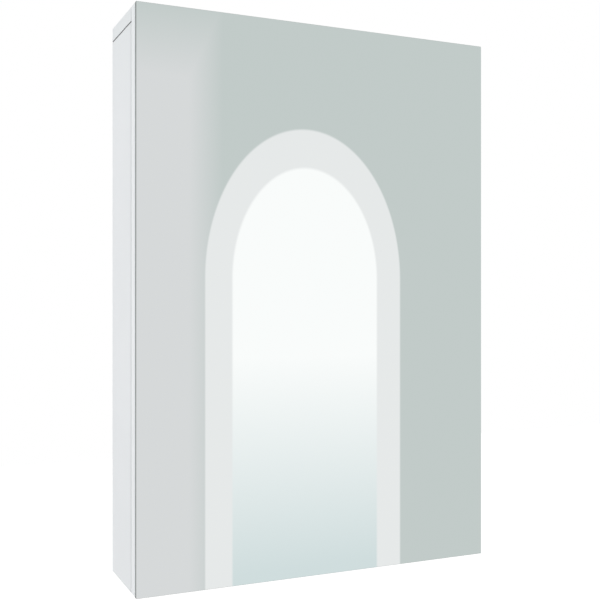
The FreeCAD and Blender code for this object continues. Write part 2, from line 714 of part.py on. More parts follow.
def make_plate():
    """Cross-shaped mounting plate: two screw wings, a low base and the ridge that the arm sits on."""
    face_x = BOARD
    base = box(
        face_x,
        face_x + PLATE_BASE,
        -PLATE_BODY_REAR,
        -PLATE_BODY_FRONT,
        -PLATE_BODY_HALF_WIDTH,
        PLATE_BODY_HALF_WIDTH,
    )
    wing_reach = PLATE_SCREW_PITCH / 2
    wing = box(
        face_x,
        face_x + PLATE_BASE,
        -PLATE_SCREW_SETBACK - PLATE_WING_RADIUS,
        -PLATE_SCREW_SETBACK + PLATE_WING_RADIUS,
        -wing_reach,
        wing_reach,
    )
    ends = [rod(point, V(-1, 0, 0), PLATE_BASE, PLATE_WING_RADIUS) for point in plate_screw_points()]
    ridge_half = ARM_CHEEK_LOW - PLATE_RIDGE_CLEARANCE
    low_ridge = box(
        face_x,
        face_x + PLATE_RIDGE_LOW,
        -PLATE_BODY_REAR,
        -PLATE_BODY_FRONT,
        -ridge_half,
        ridge_half,
    )
    seat_x = ARM_TOP_X - ARM_WEB - PLATE_SEAT_CLEARANCE
    seat = box(face_x, seat_x, -PLATE_BODY_REAR, -PLATE_RIDGE_STEP, -ridge_half, ridge_half)
    body = base.fuse([wing, low_ridge, seat] + ends).removeSplitter()
    radius = WOOD_SCREW_RADIUS + SCREW_PLAY
    cuts = [rod(point, V(-1, 0, 0), PLATE_BASE, radius) for point in plate_screw_points()]
    thread = ARM_SCREW_RADIUS + PIVOT_CLEARANCE
    thread_start = V(seat_x, -ARM_FIXING_SETBACK, 0)
    cuts.append(rod(thread_start, V(-1, 0, 0), ARM_SCREW_DEPTH + SCREW_PLAY, thread))
    return body.cut(cuts)


def make_spring():
    """Bowed leaf from under the arm's web to the curved link's eye; it pulls the door shut."""
    contact = math.radians(SPRING_CONTACT_ANGLE)
    reach = LINK_EYE_RADIUS + SPRING_CLEARANCE + SPRING_HALF_THICKNESS
    tip = (ARM_PIVOT_REAR[0] + reach * math.cos(contact), ARM_PIVOT_REAR[1] + reach * math.sin(contact))
    root_x = ARM_TOP_X - ARM_WEB - SPRING_CLEARANCE - SPRING_HALF_THICKNESS
    root = (root_x, -ARM_STEP_REAR - SPRING_ROOT_LENGTH)
    band = arc_band(tip, root, SPRING_BULGE, SPRING_HALF_THICKNESS)
    return slab(band, -SPRING_HALF_WIDTH, SPRING_HALF_WIDTH)


def pivot_pin(point, reach):
    """Pivot pin across the hinge, as far up as down."""
    return upright(point, PIVOT_RADIUS, -reach, reach)


def arm_screws():
    """Fixing screw into the plate's seat, and adjusting screw that bears on the low ridge."""
    inward = V(-1, 0, 0)
    fixing_length = ARM_WEB + PLATE_SEAT_CLEARANCE + ARM_SCREW_DEPTH
    adjust_length = ARM_TOP_X - BOARD - PLATE_RIDGE_LOW - PLATE_SEAT_CLEARANCE
    screws = []
    for setback, length in ((ARM_FIXING_SETBACK, fixing_length), (ARM_ADJUST_SETBACK, adjust_length)):
        top = V(ARM_TOP_X + ARM_SCREW_HEAD_HEIGHT, -setback, 0)
        steps = ((ARM_SCREW_HEAD_HEIGHT, ARM_SCREW_HEAD_RADIUS), (length, ARM_SCREW_RADIUS))
        screws.append(turned(top, inward, steps))
    return screws


def hinge_pieces():
    """Flat-drawn hinge: pieces with a node of their own, and groups that both hinges share."""
    arm_pivots = (ARM_PIVOT_REAR, ARM_PIVOT_NOSE)
    single = {
        "hinge_plate": make_plate(),
        "hinge_arm": make_arm(),
        "hinge_cup": make_cup(),
        "hinge_curved_link": make_curved_link(),
        "hinge_inner_link": make_inner_link(),
        "hinge_spring": make_spring(),
    }
    shared = {
        "hinge_plate_screws": [wood_screw(point, V(-1, 0, 0)) for point in plate_screw_points()],
        "hinge_cup_screws": [wood_screw(point, V(0, 1, 0)) for point in cup_screw_points()],
        "hinge_arm_screws": arm_screws(),
        "hinge_arm_pins": [pivot_pin(point, ARM_CHEEK_TOP) for point in arm_pivots],
        "hinge_rim_pins": [pivot_pin(CUP_PIVOT_RIM, CUP_CHEEK_TOP)],
        "hinge_slot_pins": [pivot_pin(CUP_PIVOT_DEEP, CUP_CHEEK_TOP)],
    }
    return single, shared


def build():
    """Every node of the cabinet by name, as a solid or a list of equal solids."""
    fasteners = Fasteners()
    nodes = {
        "top_panel": make_top_panel(fasteners),
        "left_side": make_side("left_side", -1, fasteners),
        "right_side": make_side("right_side", 1, fasteners),
        "bottom_panel": make_bottom_panel(fasteners),
        "hanging_rail": make_hanging_rail(fasteners),
        "back_panel": make_back_panel(),
        "shelf_pins": make_shelf_pins(),
        "cam_locks": [cam.cam() for cam, dowel in fasteners.pairs()],
        "cam_bolts": [cam.bolt() for cam, dowel in fasteners.pairs()],
        "cam_covers": [cam.cover() for cam, dowel in fasteners.pairs()],
        "wood_dowels": [dowel.solid() for cam, dowel in fasteners.pairs()],
        "door_panel": make_door_panel(),
        "mirror_tape": make_mirror_tape(),
        "mirror_glass": make_mirror_glass(),
        "door_bumpers": make_door_bumpers(),
    }
    for name in SHELF_LEVELS:
        nodes[name] = make_shelf(name)
    single, shared = hinge_pieces()
    for place, level in HINGE_LEVELS.items():
        for name, shape in single.items():
            nodes[place + "_" + name] = hinge_place(shape, level)
    for name, shapes in shared.items():
        nodes[name] = [hinge_place(shape, level) for level in HINGE_LEVELS.values() for shape in shapes]
    return nodes


def export(nodes):
    """Write one file per node."""
    os.makedirs("parts", exist_ok=True)
    for name, shape in nodes.items():
        solid = Part.makeCompound(shape) if isinstance(shape, list) else shape
        solid.exportStep("parts/" + name + ".step")


export(build())
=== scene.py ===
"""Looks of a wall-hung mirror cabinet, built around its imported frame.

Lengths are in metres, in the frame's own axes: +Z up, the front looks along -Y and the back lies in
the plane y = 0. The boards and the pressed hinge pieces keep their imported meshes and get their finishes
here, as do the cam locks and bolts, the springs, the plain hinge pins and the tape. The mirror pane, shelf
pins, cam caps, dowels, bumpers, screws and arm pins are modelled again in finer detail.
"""

import logging
import math
from collections.abc import Callable, Iterable, Sequence
from dataclasses import dataclass
from enum import Enum, IntEnum
from functools import reduce

import bmesh
import bpy
from mathutils import Matrix, Vector


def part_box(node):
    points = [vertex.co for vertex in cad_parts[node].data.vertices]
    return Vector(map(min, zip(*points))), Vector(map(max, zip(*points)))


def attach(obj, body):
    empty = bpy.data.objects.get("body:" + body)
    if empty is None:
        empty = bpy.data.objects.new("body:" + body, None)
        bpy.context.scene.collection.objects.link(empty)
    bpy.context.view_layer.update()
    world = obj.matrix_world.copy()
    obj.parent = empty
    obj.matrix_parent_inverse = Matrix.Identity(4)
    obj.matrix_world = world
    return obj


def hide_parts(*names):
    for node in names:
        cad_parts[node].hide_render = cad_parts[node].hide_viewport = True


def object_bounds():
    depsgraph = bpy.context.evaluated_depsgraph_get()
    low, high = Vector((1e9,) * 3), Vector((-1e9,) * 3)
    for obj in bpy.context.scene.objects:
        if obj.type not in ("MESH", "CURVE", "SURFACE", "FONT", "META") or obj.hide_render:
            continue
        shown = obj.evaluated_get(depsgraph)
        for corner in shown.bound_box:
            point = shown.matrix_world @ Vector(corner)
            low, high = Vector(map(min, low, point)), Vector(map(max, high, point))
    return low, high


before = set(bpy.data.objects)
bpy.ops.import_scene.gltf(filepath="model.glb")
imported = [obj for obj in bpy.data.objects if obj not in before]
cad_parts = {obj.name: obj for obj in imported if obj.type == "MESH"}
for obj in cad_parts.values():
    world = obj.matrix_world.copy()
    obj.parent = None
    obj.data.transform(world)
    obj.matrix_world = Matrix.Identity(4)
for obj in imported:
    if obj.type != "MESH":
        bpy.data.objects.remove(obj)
CAD_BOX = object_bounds()
MIDDLE = (CAD_BOX[0] + CAD_BOX[1]) / 2

LOG = logging.getLogger("mirror_cabinet")
MM = 0.001
SHARP_ANGLE = math.radians(38.0)

# The blur of a limit between two finishes, and the gap below which two points are one
HAIR = 0.02 * MM
TOUCH = 0.001 * MM

Pair = tuple[float, float]
Triple = tuple[float, float, float]
Range = Pair
Colour = Triple
Socket = bpy.types.NodeSocket
Feed = float | Sequence[float] | Socket
Inputs = dict[str | int, Feed]
Form = bmesh.types.BMesh

# The range that most of a noise lies in, the stretch of an even one, and a Mix node's colour sockets
NOISE_BODY: Range = (0.3, 0.7)
EVEN: Triple = (1.0, 1.0, 1.0)
MIX_FIRST, MIX_SECOND, MIX_RESULT = 6, 7, 2


class Axis(IntEnum):
    """Axes of the frame, by their index in a vector."""

    X = 0
    Y = 1
    Z = 2


# An edge of a board, by the axis that it looks along and the side that it looks to
Edge = tuple[Axis, int]


class Body(Enum):
    """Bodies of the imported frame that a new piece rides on."""

    CARCASS = "carcass"
    DOOR = "door"


class Slot(Enum):
    """Material slots of the record, one named for each kind of new piece."""

    MIRROR = "mirror"
    WHITE_PLASTIC = "white_plastic"
    SOFT_BUMPER = "soft_bumper"
    BEECH = "beech"
    ZINC_STEEL = "zinc_steel"
    NICKEL_STEEL = "nickel_steel"


class Way(Enum):
    """Ways to combine two closed forms."""

    CUT = "DIFFERENCE"
    WELD = "UNION"


@dataclass(frozen=True)
class Extent:
    """A box in the frame, by its lowest and highest corner."""

    low: Vector
    high: Vector

    @property
    def size(self) -> Vector:
        """Lengths of the box."""
        return self.high - self.low

    @property
    def middle(self) -> Vector:
        """Centre of the box."""
        return (self.low + self.high) / 2

    @property
    def axes(self) -> list[Axis]:
        """Axes from that of the least length to that of the greatest."""
        return sorted(Axis, key=lambda axis: self.size[axis])

    def end(self, axis: Axis, side: int) -> Vector:
        """Middle of the box's face on one side."""
        return self.middle + heading(axis, side) * (self.size[axis] / 2)


def heading(axis: Axis, side: int) -> Vector:
    """Unit vector along an axis, to its positive or negative side."""
    return Vector(float(side) if other is axis else 0.0 for other in Axis)


def level_sheet(wide: float, deep: float, height: float) -> list[Triple]:
    """Corners of a level sheet about the Z axis, in order from the left end of its front edge."""
    return [(x * wide / 2, y * deep / 2, height) for x, y in ((-1, -1), (1, -1), (1, 1), (-1, 1))]


class Sketch:
    """Lays out the nodes of one material or world."""

    def __init__(self, owner: bpy.types.Material | bpy.types.World) -> None:
        """Start on the nodes that a new material or world has."""
        owner.use_nodes = True
        self.owner, self.tree = owner, owner.node_tree

    def feed(self, node: bpy.types.Node, key: str | int, value: Feed) -> None:
        """Set or link one input of a node.

        Args:
            node: The node.
            key: The input's name, or its number where names repeat.
            value: A constant, with three numbers for a colour, or the socket that drives the input.
        """
        slot = node.inputs[key]
        if isinstance(value, Socket):
            self.tree.links.new(value, slot)
        else:
            slot.default_value = (*value, 1.0) if slot.type == "RGBA" else value

    def add(self, kind: str, inputs: Inputs | None = None, **settings: object) -> bpy.types.Node:
        """Add a node.

        Args:
            kind: The node's type without its ShaderNode prefix.
            inputs: Constants or sockets for its inputs.
            settings: Attributes of the node itself.

        Returns:
            The new node.
        """
        node = self.tree.nodes.new("ShaderNode" + kind)
        for key, value in settings.items():
            setattr(node, key, value)
        for key, value in (inputs or {}).items():
            self.feed(node, key, value)
        return node

    def surface(self, **inputs: Feed) -> None:
        """Set or link the shader's inputs, named with an underscore for each space."""
        for key, value in inputs.items():
            self.feed(self.tree.nodes["Principled BSDF"], key.replace("_", " "), value)

    def place(self, stretch: Triple = EVEN) -> Socket:
        """Point on the piece at rest, with each coordinate times a factor."""
        point = self.add("TexCoord").outputs["Object"]
        return self.add("VectorMath", {0: point, 1: stretch}, operation="MULTIPLY").outputs[0]

    def along(self, axis: Axis) -> Socket:
        """Coordinate of the point on the piece along one axis."""
        return self.add("SeparateXYZ", {0: self.place()}).outputs[axis]

    def maths(self, operation: str, first: Feed, second: Feed = 0.0) -> Socket:
        """Result of an operation on one or two numbers."""
        return self.add("Math", {0: first, 1: second}, operation=operation).outputs[0]

    def fold(self, operation: str, values: Iterable[Feed]) -> Feed:
        """Result of an operation carried through a row of numbers."""
        return reduce(lambda first, second: self.maths(operation, first, second), values)

    def noise(self, scale: float, detail: float, rough: float = 0.5, stretch: Triple = EVEN) -> Socket:
        """Cloudy noise over the piece, about 0 to 1, with so many clouds per metre."""
        inputs = {"Vector": self.place(stretch), "Scale": scale, "Detail": detail, "Roughness": rough}
        return self.add("TexNoise", inputs).outputs["Fac"]

    def cells(self, scale: float) -> Socket:
        """Distance to the nearest of scattered points, with so many cells per metre."""
        return self.add("TexVoronoi", {"Vector": self.place(), "Scale": scale}).outputs["Distance"]

    def span(self, value: Feed, old: Range, new: Range = (0.0, 1.0)) -> Socket:
        """Number carried from one range to another, held at its ends."""
        ends = {"Value": value, "From Min": old[0], "From Max": old[1], "To Min": new[0], "To Max": new[1]}
        return self.add("MapRange", ends).outputs["Result"]

    def below(self, value: Feed, limit: float, blur: float = HAIR) -> Socket:
        """1 where a length is under a limit and 0 above it."""
        return self.span(value, (limit - blur, limit + blur), (1.0, 0.0))

    def between(self, value: Feed, ends: Range) -> Socket:
        """1 where a length lies between two ends and 0 outside them."""
        away = self.maths("ABSOLUTE", self.maths("SUBTRACT", value, sum(ends) / 2))
        return self.below(away, (ends[1] - ends[0]) / 2)

    def within(self, box: Extent) -> Feed:
        """1 where the point on the piece lies in a box and 0 outside it."""
        spans = [(self.along(axis), (box.low[axis], box.high[axis])) for axis in Axis]
        return self.fold("MULTIPLY", [self.between(value, ends) for value, ends in spans])

    def mix(self, share: Feed, first: Colour | Socket, second: Colour | Socket) -> Socket:
        """Blend of two colours, by how much of the second one shows."""
        inputs = {"Factor": share, MIX_FIRST: first, MIX_SECOND: second}
        return self.add("Mix", inputs, data_type="RGBA").outputs[MIX_RESULT]

    def seen(self) -> Feed:
        """1 for a ray that comes from the camera, a mirror or a glass."""
        kinds = ("Is Camera Ray", "Is Glossy Ray", "Is Transmission Ray")
        return self.fold("MAXIMUM", [self.add("LightPath").outputs[kind] for kind in kinds])

    def relief(self, height: Socket, depth: float, strength: float, edge: float = 0.0) -> None:
        """Give the surface a fine relief.

        Args:
            height: The height, about 0 to 1.
            depth: What a height of 1 measures.
            strength: Share of the relief that shows.
            edge: Radius of the soft line along sharp edges, or 0 for none.
        """
        inputs: Inputs = {"Height": height, "Distance": depth, "Strength": strength}
        if edge > 0.0:
            inputs["Normal"] = self.add("Bevel", {"Radius": edge}).outputs[0]
        self.surface(Normal=self.add("Bump", inputs).outputs[0])


@dataclass(frozen=True)
class Finish:
    """A surface finish. Each kind lays out its own nodes."""

    name: str

    def material(self) -> bpy.types.Material:
        """The finish's material, made on its first use.

        Returns:
            The material.
        """
        if self.name not in bpy.data.materials:
            self.lay_out(Sketch(bpy.data.materials.new(self.name)))
        return bpy.data.materials[self.name]

    def lay_out(self, sketch: Sketch) -> None:
        """Lay out the nodes of the finish."""
        raise NotImplementedError


@dataclass(frozen=True)
class BoardFinish(Finish):
    """White faced board: smooth lacquer, banded edges, shade painted at joints, and bare fibre where cut.
    """

    board: Extent
    across: Axis
    banded: tuple[Edge, ...]
    joints: tuple[Extent, ...] = ()
    white: Colour = (0.845, 0.868, 0.885)
    # Greyer tone of the front edge bands: painted shade for the gap behind the door
    front_band_shade: Colour = (0.68, 0.70, 0.715)
    shade: float = 0.97
    fibre: Colour = (0.48, 0.345, 0.215)
    pale_fibre: Colour = (0.63, 0.485, 0.325)
    dark_fibre: Colour = (0.25, 0.16, 0.09)
    # Near-black tone painted over the open joints as painted shade
    shadow: Colour = (0.085, 0.087, 0.09)
    gloss: Range = (0.30, 0.40)
    bare_gloss: float = 0.88
    skin: float = 0.25 * MM
    band_depth: float = 0.9 * MM
    seam: float = 0.12 * MM
    seam_shade: float = 0.35
    cloud_scale: float = 7.0
    peel_scale: float = 620.0
    peel_height: float = 0.06
    chip_scale: float = 900.0
    speck_scale: float = 520.0

    def lay_out(self, sketch: Sketch) -> None:
        """Lay out lacquer, fibre, seams and painted shade, and mix them by place.

        Args:
            sketch: The material in the making.
        """
        depths = [self.depth(sketch, *edge) for edge in self.banded]
        bare = self.bare(sketch, depths)
        clouds = sketch.noise(self.cloud_scale, 3.0)
        chips = sketch.noise(self.chip_scale, 5.0, 0.7)
        shaded_white = tuple(self.shade * channel for channel in self.white)
        lacquer = sketch.mix(sketch.span(clouds, (0.35, 0.7)), self.white, shaded_white)
        # Front edge bands take the greyer tone, as painted shade for the gap behind the door
        for (axis, _), depth in zip(self.banded, depths):
            if axis is Axis.Y:
                lacquer = sketch.mix(sketch.below(depth, self.band_depth), lacquer, self.front_band_shade)
        seams = sketch.maths("MULTIPLY", self.seams(sketch, depths), self.seam_shade)
        lacquer = sketch.mix(seams, lacquer, self.fibre)
        inside = sketch.mix(sketch.span(chips, NOISE_BODY), self.fibre, self.pale_fibre)
        specks = sketch.span(sketch.cells(self.speck_scale), (0.0, 0.25), (0.35, 0.0))
        colour = sketch.mix(bare, lacquer, sketch.mix(specks, inside, self.dark_fibre))
        # Painted shade: the near-black tone over each open joint under the top panel
        for joint in self.joints:
            colour = sketch.mix(sketch.within(joint), colour, self.shadow)
        gloss = sketch.span(clouds, NOISE_BODY, self.gloss)
        dull = sketch.maths("MULTIPLY", bare, self.bare_gloss)
        sketch.surface(Base_Color=colour, Roughness=sketch.maths("MAXIMUM", gloss, dull))
        smooth = sketch.maths("MULTIPLY", sketch.noise(self.peel_scale, 2.0), self.peel_height)
        rough = sketch.maths("MULTIPLY", bare, chips)
        sketch.relief(sketch.maths("ADD", smooth, rough), depth=0.25 * MM, strength=0.5)

    def depth(self, sketch: Sketch, axis: Axis, side: int) -> Socket:
        """Distance into the board from a banded edge."""
        gap = sketch.maths("SUBTRACT", self.board.end(axis, side)[axis], sketch.along(axis))
        return sketch.maths("MULTIPLY", gap, float(side))

    def bare(self, sketch: Sketch, depths: Iterable[Socket]) -> Feed:
        """Where the board's inside is open to view.

        Args:
            sketch: The material in the making.
            depths: Distances from the banded edges.

        Returns:
            The socket, 1 on bare fibre and 0 on the white faces and bands.
        """
        middle = self.board.middle[self.across]
        reach = self.board.size[self.across] / 2 - self.skin
        core = sketch.between(sketch.along(self.across), (middle - reach, middle + reach))
        ends = (self.band_depth - self.seam, self.band_depth + self.seam)
        return sketch.fold("MULTIPLY", [core, *(sketch.span(depth, ends) for depth in depths)])

    def seams(self, sketch: Sketch, depths: Iterable[Socket]) -> Feed:
        """1 in the fine joint lines between the edge bands and the faces."""
        ends = (self.band_depth - self.seam / 2, self.band_depth + self.seam / 2)
        return sketch.fold("MAXIMUM", [sketch.between(depth, ends) for depth in depths])


@dataclass(frozen=True)
class HardboardFinish(Finish):
    """Thin fibre sheet: white paint inside, and the print of the press screen on its bare back."""

    back: float
    white: Colour = (0.80, 0.82, 0.83)
    shaded_white: Colour = (0.74, 0.76, 0.77)
    brown: Colour = (0.235, 0.128, 0.066)
    pale_brown: Colour = (0.315, 0.182, 0.098)
    bare_depth: float = 0.4 * MM
    screen_pitch: float = 1.6 * MM
    screen_shade: float = 0.35
    fibre_scale: float = 480.0
    fibre_height: float = 0.25
    blotch_scale: float = 45.0
    gloss: Range = (0.42, 0.78)

    def lay_out(self, sketch: Sketch) -> None:
        """Lay out the painted face and the screen-printed back.

        Args:
            sketch: The material in the making.
        """
        rear = sketch.below(sketch.maths("SUBTRACT", self.back, sketch.along(Axis.Y)), self.bare_depth)
        screen = sketch.maths("MAXIMUM", self.wires(sketch, Axis.X), self.wires(sketch, Axis.Z))
        fibres = sketch.noise(self.fibre_scale, 6.0, 0.68)
        blotches = sketch.noise(self.blotch_scale, 5.0, 0.6)
        brown = sketch.mix(sketch.span(blotches, NOISE_BODY, (0.2, 0.8)), self.brown, self.pale_brown)
        brown = sketch.mix(sketch.span(fibres, (0.35, 0.75), (0.0, 0.5)), brown, self.pale_brown)
        brown = sketch.mix(sketch.maths("MULTIPLY", screen, self.screen_shade), brown, self.brown)
        paint = sketch.mix(sketch.span(blotches, (0.4, 0.7), (0.0, 0.3)), self.white, self.shaded_white)
        gloss = sketch.span(rear, (0.0, 1.0), self.gloss)
        sketch.surface(Base_Color=sketch.mix(rear, paint, brown), Roughness=gloss)
        printed = sketch.maths("MULTIPLY", rear, sketch.maths("SUBTRACT", 1.0, screen))
        fuzz = sketch.maths("MULTIPLY", fibres, self.fibre_height)
        sketch.relief(sketch.maths("ADD", printed, fuzz), depth=0.2 * MM, strength=0.6)

    def wires(self, sketch: Sketch, axis: Axis) -> Socket:
        """Prints of the screen's wires, counted along one axis."""
        turns = sketch.maths("MULTIPLY", sketch.along(axis), 2.0 * math.pi / self.screen_pitch)
        return sketch.span(sketch.maths("SINE", turns), (0.2, 0.95))


@dataclass(frozen=True)
class SilverFinish(Finish):
    """Silvered front of the mirror: clear, a trace green, with the faintest wave, wipe marks and dust."""

    silver: Colour = (0.925, 0.945, 0.938)
    wiped_silver: Colour = (0.91, 0.935, 0.927)
    gloss: Range = (0.004, 0.022)
    wipe_scale: float = 5.0
    dust: float = 0.05
    dust_scale: float = 260.0
    wave_scale: float = 2.6

    def lay_out(self, sketch: Sketch) -> None:
        """Lay out the silver, its wipe marks, its dust and its wave.

        Args:
            sketch: The material in the making.
        """
        wipes = sketch.noise(self.wipe_scale, 5.0, 0.62, (1.0, 1.0, 0.35))
        wiped = sketch.span(wipes, (0.3, 0.8), (0.0, 0.5))
        marks = sketch.span(wipes, (0.52, 0.85), self.gloss)
        specks = sketch.span(sketch.cells(self.dust_scale), (0.02, 0.05), (self.dust, 0.0))
        colour = sketch.mix(wiped, self.silver, self.wiped_silver)
        sketch.surface(Base_Color=colour, Metallic=1.0, Roughness=sketch.maths("ADD", marks, specks))
        sketch.relief(sketch.noise(self.wave_scale, 1.0), depth=0.05 * MM, strength=0.2)


@dataclass(frozen=True)
class GrainFinish(Finish):
    """Dull or moulded surface: two tones that follow a grain, with the grain's relief.

    The scale counts grains per metre, and the stretch packs them closer along an axis.
    """

    colour: Colour
    second: Colour
    gloss: Range
    scale: float
    stretch: Triple = EVEN
    depth: float = 0.05 * MM
    cloud_size: float = 12.0
    cloud_share: float = 0.4
    clear: float = 0.0
    index: float = 1.5

    def lay_out(self, sketch: Sketch) -> None:
        """Lay out the two tones and the grain.

        Args:
            sketch: The material in the making.
        """
        grain = sketch.noise(self.scale, 4.0, 0.62, self.stretch)
        fine = sketch.maths("MULTIPLY", grain, 1.0 - self.cloud_share)
        clouds = sketch.noise(self.scale / self.cloud_size, 3.0)
        tones = sketch.maths("ADD", fine, sketch.maths("MULTIPLY", clouds, self.cloud_share))
        sketch.surface(
            Base_Color=sketch.mix(sketch.span(tones, (0.35, 0.65)), self.colour, self.second),
            Roughness=sketch.span(grain, NOISE_BODY, self.gloss),
            Transmission_Weight=self.clear,
            IOR=self.index,
        )
        sketch.relief(grain, self.depth, strength=0.5)


@dataclass(frozen=True)
class BeechFinish(Finish):
    """Beech of the dowels, with its short dark flecks."""

    wood: Colour = (0.60, 0.405, 0.245)
    late_wood: Colour = (0.52, 0.335, 0.195)
    fleck: Colour = (0.395, 0.228, 0.118)
    gloss: Range = (0.55, 0.72)
    grain_scale: float = 420.0
    fleck_scale: float = 900.0

    def lay_out(self, sketch: Sketch) -> None:
        """Lay out the grain and the flecks.

        Args:
            sketch: The material in the making.
        """
        grain = sketch.noise(self.grain_scale, 4.0, 0.6, (1.0, 3.0, 1.0))
        wood = sketch.mix(sketch.span(grain, (0.35, 0.7), (0.0, 0.7)), self.wood, self.late_wood)
        flecks = sketch.span(sketch.cells(self.fleck_scale), (0.05, 0.2), (0.6, 0.0))
        gloss = sketch.span(grain, NOISE_BODY, self.gloss)
        sketch.surface(Base_Color=sketch.mix(flecks, wood, self.fleck), Roughness=gloss)
        sketch.relief(grain, depth=0.08 * MM, strength=0.6)


@dataclass(frozen=True)
class MetalFinish(Finish):
    """Bare or plated metal with fine drawing marks, cloudy plating and soft edges."""

    metal: Colour = (0.70, 0.69, 0.665)
    cloud: Colour = (0.60, 0.59, 0.57)
    gloss: Range = (0.16, 0.30)
    stretch: Triple = (1.0, 1.0, 14.0)
    grain: float = 260.0
    cloud_scale: float = 90.0
    edge: float = 0.25 * MM

    def lay_out(self, sketch: Sketch) -> None:
        """Lay out the plating's clouds and the drawing marks.

        Args:
            sketch: The material in the making.
        """
        marks = sketch.noise(self.grain, 3.0, 0.6, self.stretch)
        clouds = sketch.noise(self.cloud_scale, 3.0, 0.55)
        sketch.surface(
            Base_Color=sketch.mix(sketch.span(clouds, (0.4, 0.75)), self.metal, self.cloud),
            Metallic=1.0,
            Roughness=sketch.span(marks, NOISE_BODY, self.gloss),
        )
        sketch.relief(marks, depth=0.02 * MM, strength=0.3, edge=self.edge)


NICKEL = MetalFinish("nickel_plated_steel")
ZINC_PLATE = MetalFinish(
    "zinc_plated_steel", metal=(0.66, 0.685, 0.72), cloud=(0.56, 0.585, 0.62), gloss=(0.24, 0.4)
)
CAST_ZINC = MetalFinish(
    "cast_zinc",
    metal=(0.50, 0.51, 0.52),
    cloud=(0.40, 0.41, 0.42),
    gloss=(0.42, 0.6),
    stretch=EVEN,
    grain=700.0,
)
TEMPERED_STEEL = MetalFinish(
    "tempered_spring_steel", metal=(0.26, 0.255, 0.25), cloud=(0.17, 0.165, 0.17), gloss=(0.26, 0.42)
)
SILVER = SilverFinish("silvered_mirror_face")
GROUND_GLASS = GrainFinish(
    "ground_glass_edge",
    colour=(0.15, 0.17, 0.165),
    second=(0.23, 0.255, 0.248),
    gloss=(0.24, 0.42),
    scale=150.0,
    stretch=(1.0, 30.0, 1.0),
    index=1.52,
)
BACK_PAINT = GrainFinish(
    "mirror_back_paint",
    colour=(0.19, 0.215, 0.225),
    second=(0.25, 0.275, 0.285),
    gloss=(0.5, 0.68),
    scale=260.0,
)
FOAM = GrainFinish(
    "foam_mounting_tape",
    colour=(0.12, 0.12, 0.13),
    second=(0.17, 0.17, 0.18),
    gloss=(0.8, 0.95),
    scale=1900.0,
    depth=0.1 * MM,
)
CAP_PLASTIC = GrainFinish(
    "cap_plastic",
    colour=(0.82, 0.835, 0.845),
    second=(0.78, 0.797, 0.81),
    gloss=(0.36, 0.48),
    scale=2300.0,
    depth=0.03 * MM,
)
BUMPER_RUBBER = GrainFinish(
    "bumper_rubber",
    colour=(0.80, 0.82, 0.825),
    second=(0.765, 0.788, 0.795),
    gloss=(0.2, 0.3),
    scale=900.0,
    depth=0.01 * MM,
    clear=0.3,
)
BEECH = BeechFinish("fluted_beech")


def dress(node: str, finish: Finish) -> None:
    """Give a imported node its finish.

    Args:
        node: The node's name.
        finish: The finish that it gets.
    """
    for material_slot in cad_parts[node].material_slots:
        material_slot.link = "OBJECT"
        material_slot.material = finish.material()
    LOG.info("dressed %s in %s", node, finish.name)


def solids(node: str) -> list[Extent]:
    """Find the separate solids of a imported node.

    Args:
        node: The node's name.

    Returns:
        The box of each solid, in a steady order.
    """
    mesh = bmesh.new()
    mesh.from_mesh(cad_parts[node].data)
    bmesh.ops.remove_doubles(mesh, verts=mesh.verts, dist=TOUCH)
    waiting = set(mesh.verts)
    boxes = []
    while waiting:
        group = [waiting.pop()]
        for vert in group:
            near = {edge.other_vert(vert) for edge in vert.link_edges} & waiting
            group.extend(near)
            waiting -= near
        columns = list(zip(*(vert.co for vert in group)))
        corners = [Vector([pick(column) for column in columns]) for pick in (min, max)]
        boxes.append(Extent(*corners))
    mesh.free()
    return sorted(boxes, key=lambda box: tuple(box.low))


def into_scene(name: str, data: bpy.types.ID) -> bpy.types.Object:
    """Put a new object into the scene.

    Args:
        name: Its name.
        data: Its mesh, lamp or camera.

    Returns:
        The object.
    """
    thing = bpy.data.objects.new(name, data)
    bpy.context.scene.collection.objects.link(thing)
    return thing


def set_at(form: Form, origin: Vector, outward: Vector) -> Form:
    """Carry a form that is drawn along +Z to an origin, with its +Z turned outward."""
    form.transform(Matrix.Translation(origin) @ outward.to_track_quat("Z", "Y").to_matrix().to_4x4())
    return form


def drum(rows: Iterable[Iterable[Triple]]) -> Form:
    """Closed form through rows of points, smooth all round and flat at both ends.

    Args:
        rows: Rows of equal length, from one end to the other.

    Returns:
        The form, whose last two faces are the ends.
    """
    form = bmesh.new()
    rings = [[form.verts.new(point) for point in row] for row in rows]
    for below, above in zip(rings, rings[1:]):
        for i in range(len(below)):
            j = (i + 1) % len(below)
            form.faces.new((below[i], below[j], above[j], above[i])).smooth = True
    form.faces.new(rings[0][::-1])
    form.faces.new(rings[-1])
    return form


def turned(profile: Iterable[Pair], count: int = 40) -> Form:
    """Closed form turned about the Z axis.

    Args:
        profile: Radius and height of each ring, from the low end to the high end.
        count: Points round each ring.

    Returns:
        The form.
    """
    turns = [2.0 * math.pi * i / count for i in range(count)]
    rays = [(math.cos(turn), math.sin(turn)) for turn in turns]
    return drum([(radius * x, radius * y, height) for x, y in rays] for radius, height in profile)


def quarter(centre: Pair, reach: Pair, steps: int) -> list[Pair]:
    """Profile of a quarter ellipse, from its widest point to one step before its pole."""
    turns = [0.5 * math.pi * i / steps for i in range(steps)]
    return [(centre[0] + reach[0] * math.cos(t), centre[1] + reach[1] * math.sin(t)) for t in turns]


